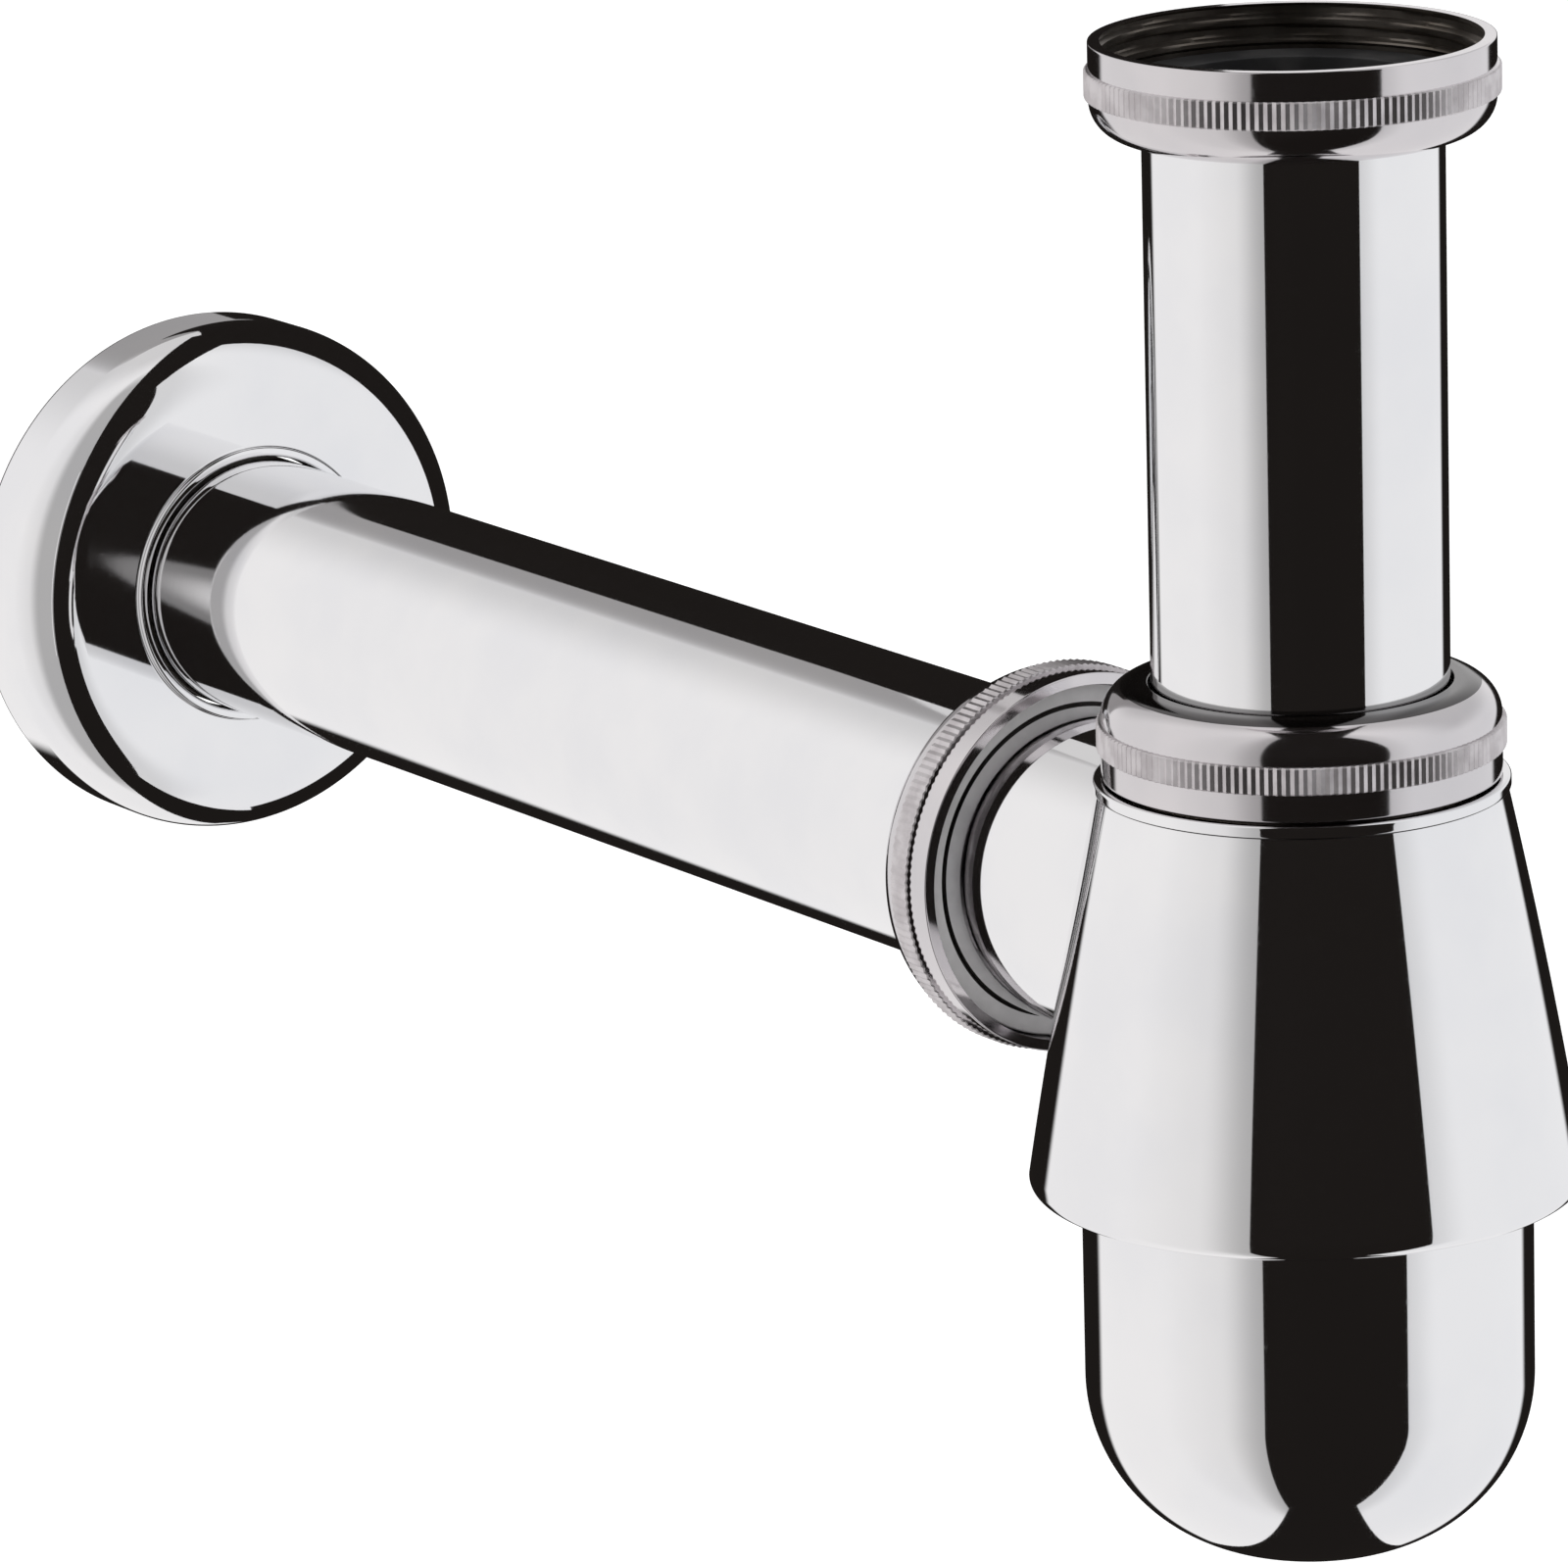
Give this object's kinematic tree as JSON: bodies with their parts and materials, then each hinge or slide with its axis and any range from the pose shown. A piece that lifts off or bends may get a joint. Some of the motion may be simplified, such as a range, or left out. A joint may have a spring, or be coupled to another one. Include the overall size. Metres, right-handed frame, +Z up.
{
  "type": "bottle trap",
  "caption": "Chromed bottle trap: a union nut and dip tube, a conical body with a screw-off cup, and a side outlet pipe with a nut and a wall flange.",
  "frame": {"origin": "centre of the inlet nut's open mouth", "axes": "+Z up along the inlet tube, +Y along the outlet pipe towards the wall"},
  "size_m": [0.0652, 0.279, 0.1671],
  "materials": {
    "polished_chrome": "mirror-polished chrome on brass",
    "seal_rubber": "matt moulded rubber",
    "slip_plastic": "plain white moulded ring"
  },
  "bodies": {
    "inlet_nut": {"inlet_union_nut": "polished_chrome"},
    "inlet_tube": {"inlet_tube": "polished_chrome", "inlet_washer": "seal_rubber"},
    "trap_body": {"trap_body": "polished_chrome", "body_seal": "seal_rubber", "body_slip_ring": "slip_plastic", "outlet_seal": "seal_rubber", "outlet_slip_ring": "slip_plastic"},
    "body_nut": {"body_nut": "polished_chrome"},
    "cup": {"cup": "polished_chrome", "cup_gasket": "seal_rubber"},
    "outlet_nut": {"outlet_nut": "polished_chrome"},
    "outlet_pipe": {"outlet_pipe": "polished_chrome"},
    "wall_flange": {"wall_flange": "polished_chrome"}
  },
  "joints": [
    {"name": "trap_swivel", "type": "hinge", "parent": "inlet_nut", "child": "inlet_tube", "pos_m": [0, 0, 0], "axis": [0, 0, 1], "continuous": true},
    {"name": "height_adjust", "type": "slide", "parent": "inlet_tube", "child": "trap_body", "axis": [0, 0, 1], "range_m": [-0.025, 0.01]},
    {"name": "body_nut_turn", "type": "hinge", "parent": "trap_body", "child": "body_nut", "pos_m": [0, 0, -0.075], "axis": [0, 0, 1], "continuous": true},
    {"name": "cup_drop", "type": "slide", "parent": "trap_body", "child": "cup", "axis": [0, 0, -1], "range_m": [0, 0.045]},
    {"name": "outlet_nut_turn", "type": "hinge", "parent": "trap_body", "child": "outlet_nut", "pos_m": [0, 0.045, -0.0982], "axis": [0, 1, 0], "continuous": true},
    {"name": "outlet_slide", "type": "slide", "parent": "trap_body", "child": "outlet_pipe", "axis": [0, 1, 0], "range_m": [-0.005, 0.008]},
    {"name": "flange_slide", "type": "slide", "parent": "outlet_pipe", "child": "wall_flange", "axis": [0, -1, 0], "range_m": [0, 0.15]}
  ]
}
